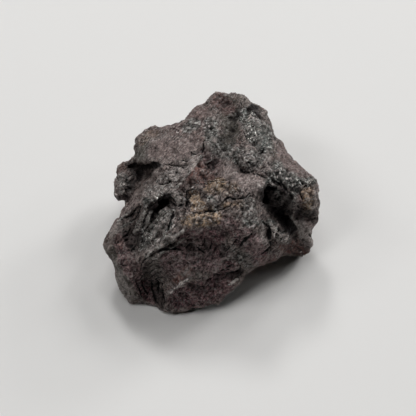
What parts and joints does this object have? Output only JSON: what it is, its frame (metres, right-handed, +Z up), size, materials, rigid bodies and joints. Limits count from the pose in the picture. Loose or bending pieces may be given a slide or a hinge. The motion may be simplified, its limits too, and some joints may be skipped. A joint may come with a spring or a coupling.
{
  "type": "meteorite",
  "caption": "Rough dark metallic stone, a hand-sized natural lump with ledges, pits, cracks and glittering patches, that lies on a flattened underside.",
  "frame": {"origin": "on the table under the middle of the stone's outline", "axes": "+Z up from the flat underside, -Y towards the broken front face, +X to the right of someone who looks at that face"},
  "size_m": [0.0716, 0.0754, 0.0372],
  "materials": {
    "stone": "rough, half-metallic broken stone"
  },
  "bodies": {
    "root": {"meteorite": "stone"}
  },
  "joints": []
}
